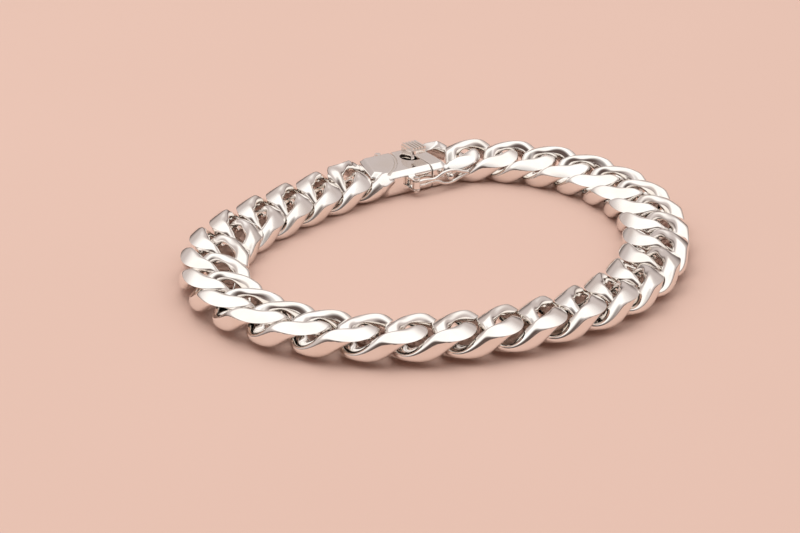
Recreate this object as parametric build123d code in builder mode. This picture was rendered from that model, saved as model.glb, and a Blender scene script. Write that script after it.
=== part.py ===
from build123d import *

import copy
import math
import os

os.makedirs("parts", exist_ok=True)

# A curb chain bracelet of silver, lying closed on a surface. Millimetres, +Z up, z = 0 is the surface.
# The front of the loop is at -Y and the clasp is at the back, at +Y.

# Links: oval rings whose wire rises and dips twice round the ring, so that they lie flat when linked.
# Their tops are ground to one dome across the chain, which leaves a crease along each long side.
link_count = 28
link_length = 12.2
link_width = 10.0
wire_width = 2.16
side_widening = 0.2
blade_widening = 0.7
wire_height = 3.3
crossing_height = 1.4
crossing_clearance = 1.2
link_play = 1.48
dome_radius = 7.35
dome_edge_height = 2.8
sections_per_half = 12

link_pitch = link_length - 2 * wire_width - link_play
wire_rise = (crossing_height + crossing_clearance) / 2
height_drop = (wire_height - crossing_height) / 2
link_thickness = wire_height + wire_rise**2 / (2 * height_drop)
end_overlap = link_pitch - link_length / 2

# The loop lies a little cupped, so each link leans outward about its length, in degrees
link_lean = 5.5
end_ring_lean = 7.0

# Clasp box, from its mouth to its back, with the clasp's middle at zero
box_height = 4.0
box_width = 9.2
mouth_reach = 2.8
back_reach = 7.4
far_corner_inset = 1.9
near_corner_inset = 2.2
end_clearance = 0.55
clasp_offset = 0.35
box_wall = 0.7
hollow_depth = 7.9
bottom_rounding = 0.8
top_bevel = 0.75
flat_reach = 6.0
sweep_radius = 3.0
seam_radius = 10.8
seam_start = 0.0
seam_offset = 5.1
seam_width = 0.4
seam_depth = 0.4
end_ring_span = 2 * (back_reach + end_clearance - end_overlap)

# Tongue: a block that closes the mouth, and a flat leaf that slides into the box
tongue_gap = 0.25
shoulder_clearance = 1.65
shoulder_inset = 0.2
shoulder_rounding = 1.6
leaf_clearance = 0.3
lower_leaf_thickness = 0.75
leaf_side_gap = 0.3

# Thumb tab: an upper leaf that pivots at the tongue's tip, with a ribbed pad above the box
upper_leaf_thickness = 0.6
knuckle_radius = 0.45
knuckle_gap = 0.05
roof_gap = 0.12
stem_width = 3.0
stem_thickness = 0.6
stem_position = 1.5
slot_clearance = 0.35
slot_reach = -0.3
pad_length = 2.9
pad_width = 4.0
pad_thickness = 0.6
pad_lift = 0.95
thumb_offset = -0.8
rib_count = 5
rib_margin = 0.35
rib_height = 0.35
rib_width = 0.3

# Safety latches: a wire figure of eight on each side, hinged on the box and sprung over a ball
latch_hinge = 1.1
latch_height = 2.05
latch_standoff = 1.4
latch_reach = 10.1
latch_waist = 3.7
latch_wire = 0.54
latch_hump = 0.34
barrel_radius = 0.66
barrel_height = 1.2
pin_radius = 0.3
pin_clearance = 0.04
pin_seat_clearance = 0.01
pin_head_radius = 0.48
pin_head_height = 0.15
lug_thickness = 0.35
lug_gap = 0.06
ball_radius = 0.65
ball_clearance = 0.1
ball_neck = 0.3
ball_reach = 6.5

# The chain's route on the surface, chosen by eye, from the clasp's middle round the left to the right
route = [
    (-5.8, 27.4),
    (-11.9, 22.5),
    (-17.2, 17.5),
    (-25.6, 8.4),
    (-31.7, -2.1),
    (-32.7, -8.9),
    (-32.0, -14.9),
    (-26.3, -24.9),
    (-16.2, -31.2),
    (-3.3, -32.5),
    (10.4, -29.2),
    (21.9, -21.7),
    (29.3, -11.4),
    (32.3, 0.7),
    (31.1, 12.9),
    (24.8, 23.6),
    (14.3, 30.1),
    (7.9, 31.3),
    (1.1, 30.5),
]

with BuildLine() as route_line:
    Spline(*route, periodic=True)
route_edge = route_line.edge()
loop_length = end_ring_span + (link_count + 1) * link_pitch
route_scale = loop_length / route_edge.length


def route_place(distance):
    """Point and heading of the chain's middle line, a distance along it from the clasp's middle."""
    share = (distance % loop_length) / loop_length * route_edge.length
    point = route_edge.position_at(share, position_mode=PositionMode.LENGTH) * route_scale
    heading = route_edge.tangent_at(share, position_mode=PositionMode.LENGTH)
    return point, math.degrees(math.atan2(heading.Y, heading.X))


link_places = [route_place(end_ring_span / 2 + number * link_pitch) for number in range(1, link_count + 1)]
box_ring, box_ring_heading = route_place(end_ring_span / 2)
tongue_ring, tongue_ring_heading = route_place(-end_ring_span / 2)
ring_offset = (box_ring - tongue_ring).length / 2
clasp_middle = (box_ring + tongue_ring) / 2
clasp_axis = (box_ring - tongue_ring).normalized()
clasp_heading = math.degrees(math.atan2(clasp_axis.Y, clasp_axis.X))
clasp_side = Vector(0, 0, 1).cross(clasp_axis)
clasp_origin = clasp_middle - clasp_side * clasp_offset
clasp_place = Plane(origin=clasp_origin, x_dir=clasp_axis, z_dir=(0, 0, 1)).location


def wire_section(turn):
    """Upright plane across the wire at an angle round the oval, and the wire's half width and height."""
    along = math.cos(turn)
    across = math.sin(turn)
    wave = math.sin(2 * turn)
    long_radius = (link_length - wire_width) / 2
    short_radius = (link_width - wire_width - side_widening) / 2
    outward = Vector(short_radius * along, long_radius * across, 0).normalized()
    half_width = wire_width / 2 + side_widening / 2 * across**2 + blade_widening / 2 * wave**2
    half_height = wire_height / 2 - height_drop * wave**2
    centre = Vector(long_radius * along, short_radius * across, link_thickness / 2 - wire_rise * wave)
    return Plane(origin=centre, x_dir=outward, z_dir=(-outward.Y, outward.X, 0)), half_width, half_height


with BuildPart() as link:
    for half_start in (-math.pi / 2, math.pi / 2):
        for step in range(sections_per_half + 1):
            plane, half_width, half_height = wire_section(half_start + math.pi * step / sections_per_half)
            with BuildSketch(plane):
                Ellipse(half_width, half_height)
        loft()
    dome_axis_height = dome_edge_height - math.sqrt(dome_radius**2 - (link_width / 2) ** 2)
    with Locations(Location((0, 0, dome_axis_height), (0, 90, 0))):
        Cylinder(dome_radius, 2 * link_length, mode=Mode.INTERSECT)


def leaning_link(lean):
    """The link leaned outward about its length, with its lowest point on the surface."""
    middle = Location((0, 0, link_thickness / 2))
    leaned = link.part.moved(middle * Location((0, 0, 0), (-lean, 0, 0)) * middle.inverse())
    return leaned.moved(Location((0, 0, -leaned.bounding_box().min.Z)))


# Heights and places shared by the clasp's pieces
hollow_floor = box_wall
hollow_roof = box_height - box_wall
hollow_width = box_width - 2 * box_wall - 2 * leaf_side_gap
tongue_face = -mouth_reach - tongue_gap
shoulder_length = end_ring_span / 2 + end_overlap - shoulder_clearance + tongue_face
box_ring_place = Location((ring_offset, clasp_offset, 0), (0, 0, box_ring_heading - clasp_heading))
tongue_ring_place = Location((-ring_offset, clasp_offset, 0), (0, 0, tongue_ring_heading - clasp_heading))
lower_leaf_top = hollow_floor + leaf_clearance + lower_leaf_thickness
leaf_tip = hollow_depth - mouth_reach - leaf_side_gap
knuckle_position = leaf_tip - knuckle_radius
knuckle_height = lower_leaf_top + knuckle_gap + knuckle_radius
leaf_width = hollow_width - 2 * leaf_side_gap
slot_width = stem_width + 2 * slot_clearance
slot_centre = slot_reach - slot_width / 2
latch_side = box_width / 2 + latch_standoff
ball_position = latch_hinge - ball_reach
ball_loop = ball_radius + ball_clearance + latch_wire / 2
shoulder_end = tongue_face - shoulder_length


def box_plan():
    """Plan of the clasp box: a flat mouth and a slanted back that ends clear of the first link."""
    side = box_width / 2
    Polyline(
        (-mouth_reach, -side),
        (back_reach - far_corner_inset, -side),
        (back_reach, side / 2),
        (back_reach - near_corner_inset, side),
        (-mouth_reach, side),
        close=True,
    )


def sweep_up(start, direction, height):
    """Space above a flat top that sweeps up in a curve beyond its start, towards -X (-1) or +X (1)."""
    with BuildPart() as space:
        with BuildSketch(Plane.XZ.offset(-link_width)):
            with Locations((start, height + sweep_radius)):
                Circle(sweep_radius)
            with Locations((start - direction * link_length / 2, height + sweep_radius)):
                Rectangle(link_length, 2 * sweep_radius)
        extrude(amount=2 * link_width)
    return space.part


def lug_height(side):
    """Underside of the lower (-1) or upper (1) lug that holds a latch's hinge pin."""
    middle = latch_height + side * (barrel_height / 2 + lug_gap + lug_thickness / 2)
    return middle - lug_thickness / 2


with BuildPart() as clasp_box:
    with BuildSketch():
        with BuildLine():
            box_plan()
        make_face()
    extrude(amount=box_height)
    fillet(clasp_box.edges().filter_by(Axis.X).group_by(Axis.Z)[0], radius=bottom_rounding)
    chamfer(clasp_box.edges().group_by(Axis.Z)[-1].sort_by(Axis.X)[1:], length=top_bevel)
    add(leaning_link(end_ring_lean).moved(box_ring_place))
    add(sweep_up(flat_reach, 1, box_height), mode=Mode.SUBTRACT)
    with BuildSketch(Plane.XY.offset(box_height)):
        with Locations((seam_start + seam_radius, -seam_offset)):
            Circle(seam_radius + seam_width / 2)
            Circle(seam_radius - seam_width / 2, mode=Mode.SUBTRACT)
        with Locations((seam_start + seam_radius, 0)):
            Rectangle(seam_radius * 2, box_width * 2, align=(Align.MIN, Align.CENTER), mode=Mode.SUBTRACT)
    extrude(amount=-seam_depth, mode=Mode.SUBTRACT)
    for side in (-1, 1):
        for level in (-1, 1):
            with BuildSketch(Plane.XY.offset(lug_height(level))):
                with Locations((latch_hinge, side * latch_side)):
                    Circle(barrel_radius)
                with Locations((latch_hinge, side * latch_side / 2)):
                    Rectangle(2 * barrel_radius, latch_side)
            extrude(amount=lug_thickness)
    with Locations((latch_hinge, latch_side), (latch_hinge, -latch_side)):
        Cylinder(pin_radius + pin_seat_clearance, 4 * box_height, mode=Mode.SUBTRACT)
    with BuildSketch(Plane.XY.offset(hollow_floor)):
        with Locations((-mouth_reach, 0)):
            Rectangle(hollow_depth, hollow_width, align=(Align.MIN, Align.CENTER))
    extrude(amount=hollow_roof - hollow_floor, mode=Mode.SUBTRACT)
    with BuildSketch(Plane.XY.offset(hollow_roof)):
        with Locations((slot_centre, thumb_offset)):
            Circle(slot_width / 2)
        with Locations((-mouth_reach, thumb_offset)):
            Rectangle(mouth_reach + slot_centre, slot_width, align=(Align.MIN, Align.CENTER))
    extrude(amount=box_height, mode=Mode.SUBTRACT)

# The tongue's shoulder covers the mouth and carries the other end ring and the two ball studs.
# Its top stays flat under the thumb tab's pad and sweeps up into the ring in a curve.
shoulder_bottom = shoulder_inset
shoulder_height = box_height - 2 * shoulder_inset
shoulder_width = box_width - 2 * shoulder_inset

with BuildPart() as clasp_tongue:
    with BuildSketch(Plane.XY.offset(shoulder_bottom)):
        with Locations((tongue_face, 0)):
            Rectangle(shoulder_length, shoulder_width, align=(Align.MAX, Align.CENTER))
    extrude(amount=shoulder_height)
    fillet(clasp_tongue.edges().filter_by(Axis.Z).group_by(Axis.X)[0], radius=shoulder_rounding)
    chamfer(clasp_tongue.edges().group_by(Axis.Z)[-1].sort_by(Axis.X)[:-1], length=top_bevel)
    add(leaning_link(end_ring_lean).moved(tongue_ring_place))
    add(sweep_up(shoulder_end, -1, shoulder_bottom + shoulder_height), mode=Mode.SUBTRACT)
    with BuildSketch():
        with Locations((tongue_face, 0)):
            Rectangle(link_length, 2 * link_width, align=(Align.MIN, Align.CENTER))
    extrude(amount=2 * box_height, mode=Mode.SUBTRACT)
    with BuildSketch(Plane.XY.offset(lower_leaf_top)):
        with Locations((tongue_face, 0)):
            Rectangle(leaf_tip - tongue_face, leaf_width, align=(Align.MIN, Align.CENTER))
    extrude(amount=-lower_leaf_thickness)
    for side in (-1, 1):
        with BuildSketch(Plane.XZ.offset(-side * latch_side)):
            with Locations((ball_position, latch_height)):
                Circle(ball_neck)
        extrude(amount=side * (latch_side - shoulder_width / 2 + ball_radius))
        with Locations((ball_position, side * latch_side, latch_height)):
            Sphere(ball_radius)

# The thumb tab's side profile: a knuckle at the tongue's tip, a rising leaf, a stem and a ribbed pad
roof_underside = hollow_roof - roof_gap
pad_bottom = box_height + pad_lift
pad_top = pad_bottom + pad_thickness
stem_front = -stem_position + stem_thickness / 2
leaf_height = roof_underside - upper_leaf_thickness / 2 - knuckle_height
leaf_rise = math.atan2(leaf_height, knuckle_position - stem_front)
leaf_run = (knuckle_position - stem_front) / math.cos(leaf_rise)

with BuildPart() as thumb_tab:
    with BuildSketch(Plane.XZ.offset(-leaf_width / 2)):
        with Locations((knuckle_position, knuckle_height)):
            Circle(knuckle_radius)
            with Locations(Location((0, 0, 0), (0, 0, -math.degrees(leaf_rise)))):
                Rectangle(leaf_run, upper_leaf_thickness, align=(Align.MAX, Align.CENTER))
    extrude(amount=leaf_width)
    with BuildSketch(Plane.XY.offset(roof_underside - upper_leaf_thickness)):
        with Locations((-stem_position, thumb_offset)):
            Rectangle(stem_thickness, stem_width)
    extrude(amount=pad_bottom + pad_thickness / 2 - roof_underside + upper_leaf_thickness)
    with BuildSketch(Plane.XY.offset(pad_bottom)):
        with Locations((stem_front, thumb_offset)):
            RectangleRounded(pad_length, pad_width, pad_thickness, align=(Align.MAX, Align.CENTER))
    extrude(amount=pad_thickness)
    rib_spacing = (pad_length - 2 * rib_margin) / (rib_count - 1)
    with BuildSketch(Plane.XY.offset(pad_top)):
        for rib in range(rib_count):
            with Locations((stem_front - rib_margin - rib * rib_spacing, thumb_offset)):
                Rectangle(rib_width, pad_width - 2 * rib_margin)
    extrude(amount=rib_height)

with BuildPart() as latch:
    upper_points = [
        (-barrel_radius / 2, latch_wire * 0.45),
        (-latch_waist / 2, latch_hump),
        (-latch_waist, latch_wire * 0.45),
        (-(latch_waist + ball_reach) / 2, ball_loop * 0.8),
        (-ball_reach, ball_loop),
        (-(ball_reach + latch_reach) / 2, ball_loop * 0.55),
        (-latch_reach + latch_wire / 2, latch_wire / 5),
    ]
    with BuildLine(Plane.XZ) as upper_wire:
        Spline(*upper_points)
    wire_start = upper_wire.edge() @ 0
    wire_end = upper_wire.edge() @ 1
    with BuildSketch(Plane(origin=wire_start, z_dir=upper_wire.edge() % 0)):
        Circle(latch_wire / 2)
    sweep(path=upper_wire.edge())
    with Locations(wire_end):
        Sphere(latch_wire / 2)
    mirror(about=Plane.XY)
    Cylinder(barrel_radius, barrel_height)
    Cylinder(pin_radius + pin_clearance, 2 * barrel_height, mode=Mode.SUBTRACT)

pin_bottom = lug_height(-1) - lug_gap
pin_top = lug_height(1) + lug_thickness + lug_gap

with BuildPart() as latch_pin:
    with BuildSketch(Plane.XY.offset(pin_bottom)):
        Circle(pin_radius)
    extrude(amount=pin_top - pin_bottom)
    for level, growth in ((pin_bottom, -pin_head_height), (pin_top, pin_head_height)):
        with BuildSketch(Plane.XY.offset(level)):
            Circle(pin_head_radius)
        extrude(amount=growth)


hinges = {
    "inner": Location((latch_hinge, latch_side, 0)),
    "outer": Location((latch_hinge, -latch_side, 0)),
}
pieces = {}
chain_link = leaning_link(link_lean)
for number, (point, heading) in enumerate(link_places, start=1):
    pieces[f"link_{number:02d}"] = chain_link.moved(Location(point, (0, 0, heading)))
pieces["clasp_box"] = clasp_box.part.moved(clasp_place)
pieces["clasp_tongue"] = clasp_tongue.part.moved(clasp_place)
pieces["thumb_tab"] = thumb_tab.part.moved(clasp_place)
for side_name, hinge in hinges.items():
    pieces[f"latch_{side_name}"] = latch.part.moved(clasp_place * hinge * Location((0, 0, latch_height)))
    pieces[f"latch_pin_{side_name}"] = latch_pin.part.moved(clasp_place * hinge)

# The origin lies on the surface under the middle of the whole loop
whole_box = Compound(children=[copy.copy(piece) for piece in pieces.values()]).bounding_box()
loop_middle = whole_box.center()
to_middle = Location((-loop_middle.X, -loop_middle.Y, 0))

for name, piece in pieces.items():
    placed = piece.moved(to_middle)
    placed.label = name
    export_step(placed, f"parts/{name}.step")
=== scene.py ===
"""Finish, floor, light and camera of a silver curb chain bracelet with a box clasp. Metres, +Z up."""

import math

import bpy
import numpy as np
from mathutils import Matrix, Vector


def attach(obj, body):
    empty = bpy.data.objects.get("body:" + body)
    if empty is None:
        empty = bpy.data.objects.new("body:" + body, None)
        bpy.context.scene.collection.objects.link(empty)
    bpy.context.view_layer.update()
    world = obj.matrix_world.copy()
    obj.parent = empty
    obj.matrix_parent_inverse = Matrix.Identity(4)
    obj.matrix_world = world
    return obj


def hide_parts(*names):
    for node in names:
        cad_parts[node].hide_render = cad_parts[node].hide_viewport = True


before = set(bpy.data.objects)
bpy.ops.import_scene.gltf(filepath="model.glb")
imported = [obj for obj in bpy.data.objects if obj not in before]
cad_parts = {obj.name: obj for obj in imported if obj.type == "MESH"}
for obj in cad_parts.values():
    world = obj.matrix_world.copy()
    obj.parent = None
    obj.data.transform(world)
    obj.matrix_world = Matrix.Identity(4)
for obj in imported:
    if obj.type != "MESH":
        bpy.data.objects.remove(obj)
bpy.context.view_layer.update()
MM = 0.001

# Link sizes, as in the part's source
LINK_LENGTH = 12.2 * MM
LINK_WIDTH = 10.0 * MM
LINK_THICKNESS = 4.19 * MM
WIRE_WIDTH = 2.16 * MM
SIDE_WIDENING = 0.2 * MM
BLADE_WIDENING = 0.7 * MM
WIRE_HEIGHT = 3.3 * MM
CROSSING_HEIGHT = 1.4 * MM
WIRE_RISE = 1.3 * MM

# The dome to which a link is ground: its radius, its height over the link's long edges,
# how fast it falls towards the link's ends, and how far its crease is polished round
DOME_RADIUS = 7.35 * MM
DOME_EDGE_HEIGHT = 3.05 * MM
DOME_FALL = 0.045 / MM
CREASE_ROUNDING = 0.3 * MM

# Powers of the wire's section, where 2 is an ellipse and more is squarer. It is squarer on the
# ring's outer side, and rounder inside the ring and on the side that faces a crossing link.
ROUND_SECTION = 2.1
SQUARE_SECTION = 3.0
FACING_FADE_END = 0.75
FACING_FADE_SPAN = 0.9
OUTER_FADE_START = -0.3
OUTER_FADE_SPAN = 0.6

STEPS_ROUND_RING = 160
STEPS_ROUND_WIRE = 48

# Grain of the clasp's castings, and how strongly and often polishing goes over them
CASTING_GRAIN = 0.1 * MM
POLISH_STRENGTH = 0.5
POLISH_PASSES = 10

# Silver, its tint under the haze, and how worn the links and the clasp are
SILVER = (0.93, 0.905, 0.88)
HAZE_SHADE = (0.965, 0.94, 0.91)
LINK_WEAR = 1.0
CLASP_WEAR = 1.4

# Marks in the polish: clouds and dents per metre, how hairlines both ways are drawn and turned,
# and the part of each noise over which a mark fades in
CLOUD_SCALE = 220
DENT_SCALE = 340
HAIRLINE_STRETCH = (260, 5200, 2600)
HAIRLINE_TURN = (0.3, 0.2, 0.6)
CROSSLINE_STRETCH = (4800, 320, 2400)
CROSSLINE_TURN = (0.1, 0.5, 0.25)
HAZE_FADE = (0.35, 0.75)
HAIRLINE_FADE = (0.62, 0.72)
CROSSLINE_FADE = (0.64, 0.74)
MARK_STRENGTH = 0.25
MARK_DEPTH = 0.04 * MM
SCRATCH_SHARE = 0.08
POLISHED_ROUGHNESS = 0.07
WORN_ROUGHNESS = 0.05

# Floor
FLOOR_SIZE = 6.0
FLOOR_DARKER = (0.72, 0.50, 0.42)
FLOOR_PALER = (0.76, 0.53, 0.45)
FLOOR_MOTTLE_SCALE = 9
FLOOR_ROUGHNESS = 0.85

# Soft light overhead
LIGHT_PLACE = Vector((-0.10, 0.10, 0.60))
LIGHT_WIDTH = 0.5
LIGHT_DEPTH = 0.4
LIGHT_POWER = 1.2
LIGHT_COLOUR = (1.0, 0.98, 0.95)

# Room: its light low down, at the walls, overhead and in the dim front, and where each fades in,
# by the sine of the height or the cosine of the angle from the front's middle
ROOM_HORIZON = (0.10, 0.07, 0.06)
ROOM_WALL = (0.62, 0.54, 0.515)
ROOM_TOP = (1.22, 1.185, 1.15)
ROOM_FRONT = (0.12, 0.085, 0.075)
WALL_FADE = (0.0, 0.30)
TOP_FADE = (0.38, 0.78)
FRONT_FADE = (0.45, 0.95)
FRONT_HEIGHT = math.radians(20)

# Camera and the point that it looks at
CAMERA_ELEVATION = math.radians(25.0)
CAMERA_DISTANCE = 264.5 * MM
CAMERA_TARGET = Vector((-5.72 * MM, -5.08 * MM, 0))
SENSOR_WIDTH = 36
LENS = 81
NEAREST_SEEN = 0.01
FARTHEST_SEEN = 50


class Socket:
    """A shader socket that takes part in Python expressions."""

    def __init__(self, shading, output):
        self.shading = shading
        self.output = output

    def maths(self, operation, *values):
        settings = {"operation": operation}
        return self.shading.node("ShaderNodeMath", settings, dict(enumerate(values)))

    def __add__(self, other):
        return self.maths("ADD", self, other)

    __radd__ = __add__

    def __mul__(self, other):
        return self.maths("MULTIPLY", self, other)

    __rmul__ = __mul__

    def smooth_step(self, low, high):
        settings = {"interpolation_type": "SMOOTHSTEP"}
        return self.shading.node("ShaderNodeMapRange", settings, {0: self, 1: low, 2: high})

    def share_along(self, direction):
        settings = {"operation": "DOT_PRODUCT"}
        values = {0: self, 1: direction}
        return self.shading.node("ShaderNodeVectorMath", settings, values, output="Value")


class Shading:
    """The nodes of a material or of the room, made by node()."""

    def __init__(self, tree):
        self.nodes = tree.nodes
        self.links = tree.links

    def plug(self, socket, value):
        if isinstance(value, Socket):
            self.links.new(value.output, socket)
        elif socket.type == "RGBA":
            socket.default_value = (*value, 1)
        else:
            socket.default_value = value

    def node(self, kind, settings, values, output=0):
        made = self.nodes.new(kind)
        for setting, value in settings.items():
            setattr(made, setting, value)
        for socket, value in values.items():
            self.plug(made.inputs[socket], value)
        return Socket(self, made.outputs[output])

    def mix(self, share, first, second):
        values = {0: share, 6: first, 7: second}
        return self.node("ShaderNodeMix", {"data_type": "RGBA"}, values, output=2)


class Finish(Shading):
    """One material, whose surface is set by surface()."""

    def __init__(self, name):
        self.material = bpy.data.materials.new(name)
        self.material.use_nodes = True
        super().__init__(self.material.node_tree)
        self.shader = self.nodes["Principled BSDF"]

    def place(self):
        return self.node("ShaderNodeTexCoord", {}, {}, output="Object")

    def noise(self, place, scale, detail):
        values = {"Vector": place, "Scale": scale, "Detail": detail}
        return self.node("ShaderNodeTexNoise", {}, values)

    def hairlines(self, place, stretch, turn):
        """Noise drawn out into fine lines."""
        values = {"Vector": place, "Scale": stretch, "Rotation": turn}
        return self.noise(self.node("ShaderNodeMapping", {}, values), 1.0, 2)

    def surface(self, **values):
        for name, value in values.items():
            self.plug(self.shader.inputs[name.replace("_", " ")], value)
        return self.material


def polished_silver(name, wear):
    """Mirror-polished silver with faint cloudy haze, fine hairlines and soft handling dents."""
    finish = Finish(name)
    place = finish.place()
    haze = finish.noise(place, CLOUD_SCALE, 3).smooth_step(*HAZE_FADE)
    hairlines = finish.hairlines(place, HAIRLINE_STRETCH, HAIRLINE_TURN)
    crosslines = finish.hairlines(place, CROSSLINE_STRETCH, CROSSLINE_TURN)
    scratches = hairlines.smooth_step(*HAIRLINE_FADE) + crosslines.smooth_step(*CROSSLINE_FADE)
    marks = finish.noise(place, DENT_SCALE, 1) + scratches * (SCRATCH_SHARE * wear)
    bump = {"Strength": MARK_STRENGTH, "Distance": MARK_DEPTH, "Height": marks}
    hazy_silver = tuple(part * shade for part, shade in zip(SILVER, HAZE_SHADE))
    worn_roughness = WORN_ROUGHNESS * wear
    return finish.surface(
        Base_Color=finish.mix(haze, SILVER, hazy_silver),
        Metallic=1.0,
        Roughness=POLISHED_ROUGHNESS + haze * worn_roughness + scratches * worn_roughness,
        Normal=finish.node("ShaderNodeBump", {}, bump),
    )


def plain_floor():
    """A smooth pale floor with the faintest mottling."""
    finish = Finish("pale_floor")
    mottle = finish.noise(finish.place(), FLOOR_MOTTLE_SCALE, 3)
    return finish.surface(
        Base_Color=finish.mix(mottle, FLOOR_DARKER, FLOOR_PALER),
        Roughness=FLOOR_ROUGHNESS,
    )


def signed_power(value, power):
    return math.copysign(abs(value) ** power, value)


def smooth_share(value):
    """Rises smoothly from 0 to 1 as the value does."""
    clamped = min(max(value, 0.0), 1.0)
    return clamped * clamped * (3 - 2 * clamped)


def soft_lower(first, second, rounding):
    """The lower of two heights, with the corner between them rounded."""
    share = min(max(0.5 + 0.5 * (second - first) / rounding, 0.0), 1.0)
    return second + (first - second) * share - rounding * share * (1 - share)


def dome_height(point):
    """Height of the dome over a point of a link, from the link's middle."""
    edge_drop = math.sqrt(DOME_RADIUS**2 - (LINK_WIDTH / 2) ** 2)
    crown = DOME_EDGE_HEIGHT - LINK_THICKNESS / 2 - edge_drop
    return crown + math.sqrt(DOME_RADIUS**2 - point.y**2) - DOME_FALL * point.x**2


def wire_point(turn, roll):
    """Point on a link's wire, from the angle round the ring and the angle round the wire."""
    along, across, wave = math.cos(turn), math.sin(turn), math.sin(2 * turn)
    outer, upper = math.cos(roll), math.sin(roll)
    long_radius = (LINK_LENGTH - WIRE_WIDTH) / 2
    short_radius = (LINK_WIDTH - WIRE_WIDTH - SIDE_WIDENING) / 2
    centre = Vector((long_radius * along, short_radius * across, -WIRE_RISE * wave))
    outward = Vector((short_radius * along, long_radius * across, 0)).normalized()
    half_width = (WIRE_WIDTH + SIDE_WIDENING * across**2 + BLADE_WIDENING * wave**2) / 2
    half_height = (WIRE_HEIGHT - (WIRE_HEIGHT - CROSSING_HEIGHT) * wave**2) / 2
    turned_away = smooth_share((FACING_FADE_END - wave * upper) / FACING_FADE_SPAN)
    outside = smooth_share((outer - OUTER_FADE_START) / OUTER_FADE_SPAN)
    power = 2 / (ROUND_SECTION + (SQUARE_SECTION - ROUND_SECTION) * (turned_away * outside))
    side = outward * (half_width * signed_power(outer, power))
    point = centre + side + Vector((0, 0, half_height * signed_power(upper, power)))
    point.z = soft_lower(point.z, dome_height(point), CREASE_ROUNDING)
    return point


def link_mesh():
    """One link as a smooth ring of quads, with its middle at the origin and its length along X."""
    points = [
        wire_point(2 * math.pi * step / STEPS_ROUND_RING, 2 * math.pi * roll / STEPS_ROUND_WIRE)
        for step in range(STEPS_ROUND_RING)
        for roll in range(STEPS_ROUND_WIRE)
    ]
    faces = []
    for step in range(STEPS_ROUND_RING):
        for roll in range(STEPS_ROUND_WIRE):
            ahead = (step + 1) % STEPS_ROUND_RING
            above = (roll + 1) % STEPS_ROUND_WIRE
            corners = ((step, roll), (ahead, roll), (ahead, above), (step, above))
            faces.append([ring * STEPS_ROUND_WIRE + row for ring, row in corners])
    mesh = bpy.data.meshes.new("link")
    mesh.from_pydata(points, [], faces)
    mesh.update()
    mesh.shade_smooth()
    return mesh


def lie_of_link(node):
    """Where a link's solid lies: the middle of its skin, and its long, broad and thin axes."""
    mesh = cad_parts[node].data
    centres = np.array([face.center for face in mesh.polygons])
    areas = np.array([face.area for face in mesh.polygons])
    middle = areas @ centres / areas.sum()
    offsets = centres - middle
    axes = np.linalg.eigh((offsets * areas[:, None]).T @ offsets)[1]
    upward = Vector(axes[:, 0]) * math.copysign(1, axes[2, 0])
    forward = Vector(axes[:, 2])
    turned = Matrix((forward, upward.cross(forward), upward)).transposed()
    return Matrix.Translation(middle) @ turned.to_4x4()


def dress_links(material):
    """Puts the smooth link in place of each link's solid."""
    shared = link_mesh()
    shared.materials.append(material)
    for node in sorted(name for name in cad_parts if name.startswith("link_")):
        ring = bpy.data.objects.new(f"{node}_polished", shared.copy())
        ring.data.transform(lie_of_link(node))
        bpy.context.scene.collection.objects.link(ring)
        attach(ring, "bracelet")
        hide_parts(node)


def soften_casting(node, material):
    """A casting of a clasp solid, with its edges and corners rounded as polishing leaves them."""
    casting = bpy.data.objects.new(f"{node}_casting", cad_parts[node].data.copy())
    bpy.context.scene.collection.objects.link(casting)
    grain = casting.modifiers.new("grain", "REMESH")
    grain.mode = "VOXEL"
    grain.voxel_size = CASTING_GRAIN
    polish = casting.modifiers.new("polish", "SMOOTH")
    polish.factor = POLISH_STRENGTH
    polish.iterations = POLISH_PASSES
    shape = casting.evaluated_get(bpy.context.evaluated_depsgraph_get())
    casting.data = bpy.data.meshes.new_from_object(shape)
    casting.modifiers.clear()
    casting.data.shade_smooth()
    casting.data.materials.clear()
    casting.data.materials.append(material)
    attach(casting, "bracelet")
    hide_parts(node)


def dress_clasp(material):
    """Rounds the clasp's two castings and gives its small pieces their finish."""
    for name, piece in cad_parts.items():
        if name in ("clasp_box", "clasp_tongue"):
            soften_casting(name, material)
        elif not name.startswith("link_"):
            piece.data.materials.clear()
            piece.data.materials.append(material)


def lay_floor():
    half = FLOOR_SIZE / 2
    mesh = bpy.data.meshes.new("floor")
    corners = [(-half, -half, 0), (half, -half, 0), (half, half, 0), (-half, half, 0)]
    mesh.from_pydata(corners, [], [(0, 1, 2, 3)])
    mesh.materials.append(plain_floor())
    card = bpy.data.objects.new("floor", mesh)
    bpy.context.scene.collection.objects.link(card)


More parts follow.
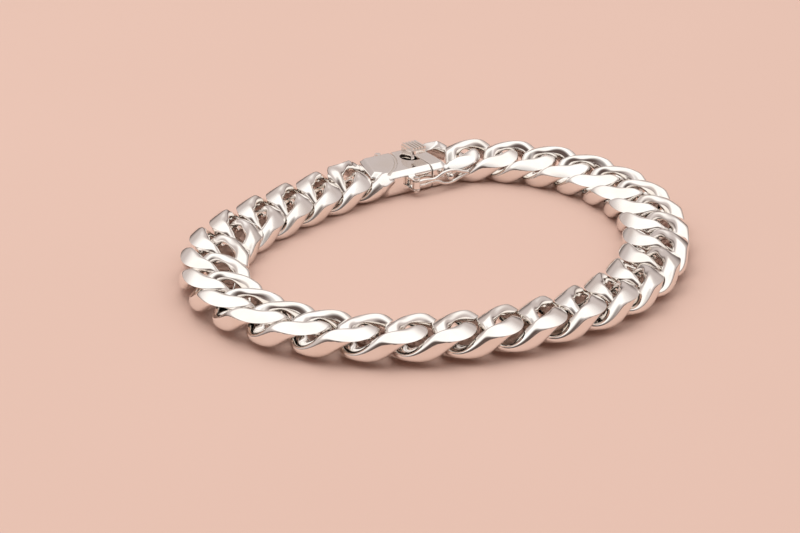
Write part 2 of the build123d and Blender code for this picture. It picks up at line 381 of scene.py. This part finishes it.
def hang_light():
    """One wide soft light, which the silver doesn't mirror."""
    light = bpy.data.lights.new("overhead", "AREA")
    light.shape = "RECTANGLE"
    light.size = LIGHT_WIDTH
    light.size_y = LIGHT_DEPTH
    light.energy = LIGHT_POWER
    light.color = LIGHT_COLOUR
    holder = bpy.data.objects.new("overhead", light)
    holder.location = LIGHT_PLACE
    holder.rotation_euler = (-LIGHT_PLACE).to_track_quat("-Z", "Y").to_euler()
    holder.visible_glossy = False
    bpy.context.scene.collection.objects.link(holder)


def light_room():
    """Plain soft light from all round: white overhead, pinkish grey lower down, dimmer in front."""
    world = bpy.data.worlds.new("soft_room")
    world.use_nodes = True
    room = Shading(world.node_tree)
    direction = room.node("ShaderNodeTexCoord", {}, {}, output="Generated")
    height = direction.share_along((0, 0, 1))
    frontward = direction.share_along((0, -math.cos(FRONT_HEIGHT), math.sin(FRONT_HEIGHT)))
    low = room.mix(height.smooth_step(*WALL_FADE), ROOM_HORIZON, ROOM_WALL)
    all_round = room.mix(height.smooth_step(*TOP_FADE), low, ROOM_TOP)
    colour = room.mix(frontward.smooth_step(*FRONT_FADE), all_round, ROOM_FRONT)
    room.plug(room.nodes["Background"].inputs["Color"], colour)
    bpy.context.scene.world = world


def set_camera():
    camera = bpy.data.cameras.new("camera")
    camera.sensor_width = SENSOR_WIDTH
    camera.lens = LENS
    camera.clip_start = NEAREST_SEEN
    camera.clip_end = FARTHEST_SEEN
    holder = bpy.data.objects.new("camera", camera)
    back = Vector((0, -math.cos(CAMERA_ELEVATION), math.sin(CAMERA_ELEVATION)))
    holder.location = CAMERA_TARGET + back * CAMERA_DISTANCE
    holder.rotation_euler = (math.pi / 2 - CAMERA_ELEVATION, 0, 0)
    bpy.context.scene.collection.objects.link(holder)
    bpy.context.scene.camera = holder


dress_links(polished_silver("link_silver", LINK_WEAR))
dress_clasp(polished_silver("clasp_silver", CLASP_WEAR))
lay_floor()
hang_light()
light_room()
set_camera()
bpy.context.scene.view_settings.view_transform = "Standard"
